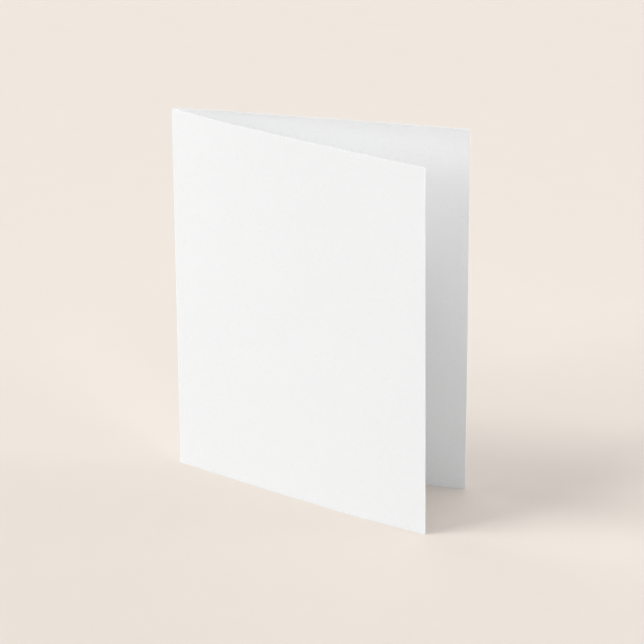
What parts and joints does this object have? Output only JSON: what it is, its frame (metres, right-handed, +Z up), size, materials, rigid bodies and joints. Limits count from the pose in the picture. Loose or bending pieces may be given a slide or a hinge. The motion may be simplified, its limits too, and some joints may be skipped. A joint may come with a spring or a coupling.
{
  "type": "greeting card",
  "caption": "Blank folded greeting card of plain white card stock, standing partly open on its bottom edge with its fold upright.",
  "frame": {"origin": "middle of the card's overall box, on the surface that the card stands on", "axes": "+Z up along the fold, +X from the fold to the open side, +Y towards the back panel, so the cover panel is on the -Y side"},
  "size_m": [0.1062, 0.0422, 0.1397],
  "materials": {
    "card_stock": "matte"
  },
  "bodies": {
    "root": {"card": "card_stock"}
  },
  "joints": []
}
